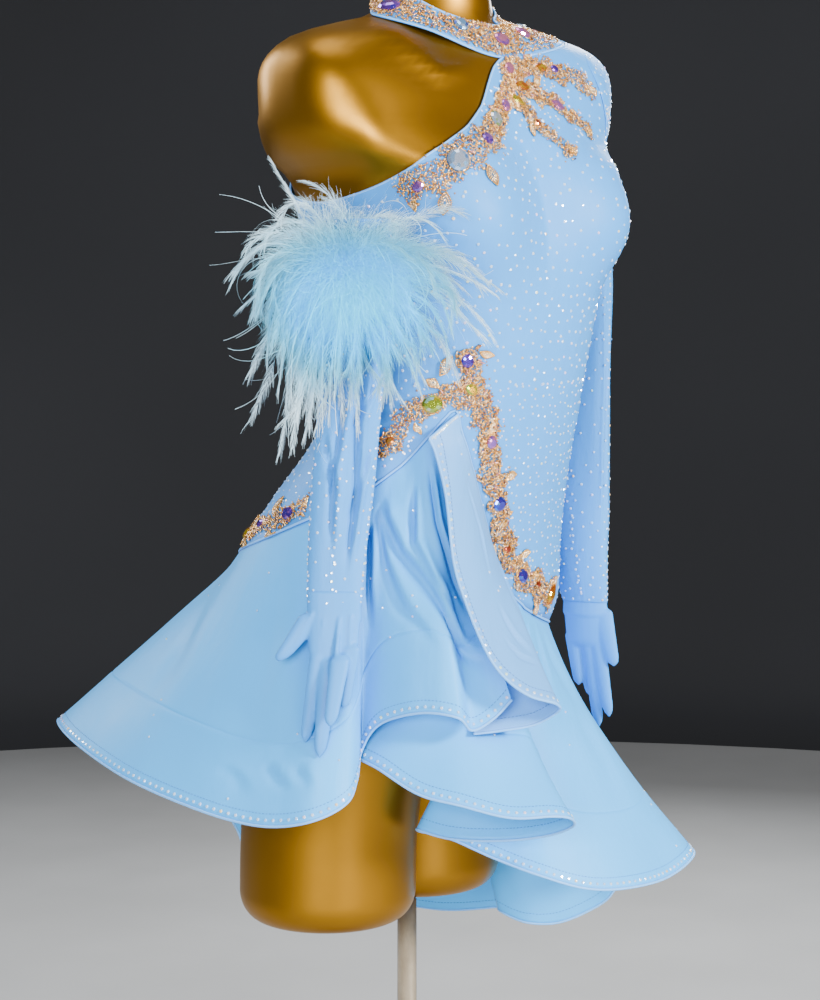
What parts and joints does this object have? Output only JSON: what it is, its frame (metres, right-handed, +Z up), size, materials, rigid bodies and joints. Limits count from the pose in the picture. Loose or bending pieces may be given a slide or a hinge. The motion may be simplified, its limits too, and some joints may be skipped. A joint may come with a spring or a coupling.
{
  "type": "latin dance dress on a dress form",
  "caption": "Asymmetric one-shoulder latin dance dress with layered flared skirt and feather-cuffed glove sleeve, on an armless dress form with pole and base.",
  "frame": {"origin": "centre of the base plate's underside, on the floor", "axes": "+Z up along the pole; the wearer faces -Y and the wearer's left is +X"},
  "size_m": [0.5205, 0.4905, 1.44],
  "materials": {
    "blue_cloth": "satin stretch crepe",
    "feather": "soft, matt",
    "beaded_trim": "rose-gold beads, glossy",
    "gold_form": "metallic gold lacquer, glossy",
    "stand_steel": "satin, scuffed"
  },
  "bodies": {
    "root": {"form": "gold_form", "pole": "stand_steel", "base_plate": "stand_steel", "bodice_front": "blue_cloth", "bodice_back": "blue_cloth", "collar": "blue_cloth", "skirt_back_right": "blue_cloth", "skirt_back_right_hem_band": "blue_cloth", "skirt_right": "blue_cloth", "skirt_right_hem_band": "blue_cloth", "skirt_front_frill": "blue_cloth", "skirt_front_frill_hem_band": "blue_cloth", "skirt_front_drape": "blue_cloth", "skirt_front_drape_hem_band": "blue_cloth", "skirt_left": "blue_cloth", "skirt_left_hem_band": "blue_cloth", "skirt_back_left": "blue_cloth", "skirt_back_left_hem_band": "blue_cloth", "skirt_overlay": "blue_cloth", "left_sleeve": "blue_cloth", "right_sleeve": "blue_cloth", "right_glove": "blue_cloth", "left_glove": "blue_cloth", "cuff_band": "blue_cloth", "feather_trim": "feather", "trim_neckline": "beaded_trim", "trim_shoulder_upper": "beaded_trim", "trim_shoulder_middle": "beaded_trim", "trim_shoulder_lower": "beaded_trim", "trim_waist": "beaded_trim", "trim_waist_side": "beaded_trim", "trim_hip": "beaded_trim", "trim_collar": "beaded_trim"}
  },
  "joints": []
}
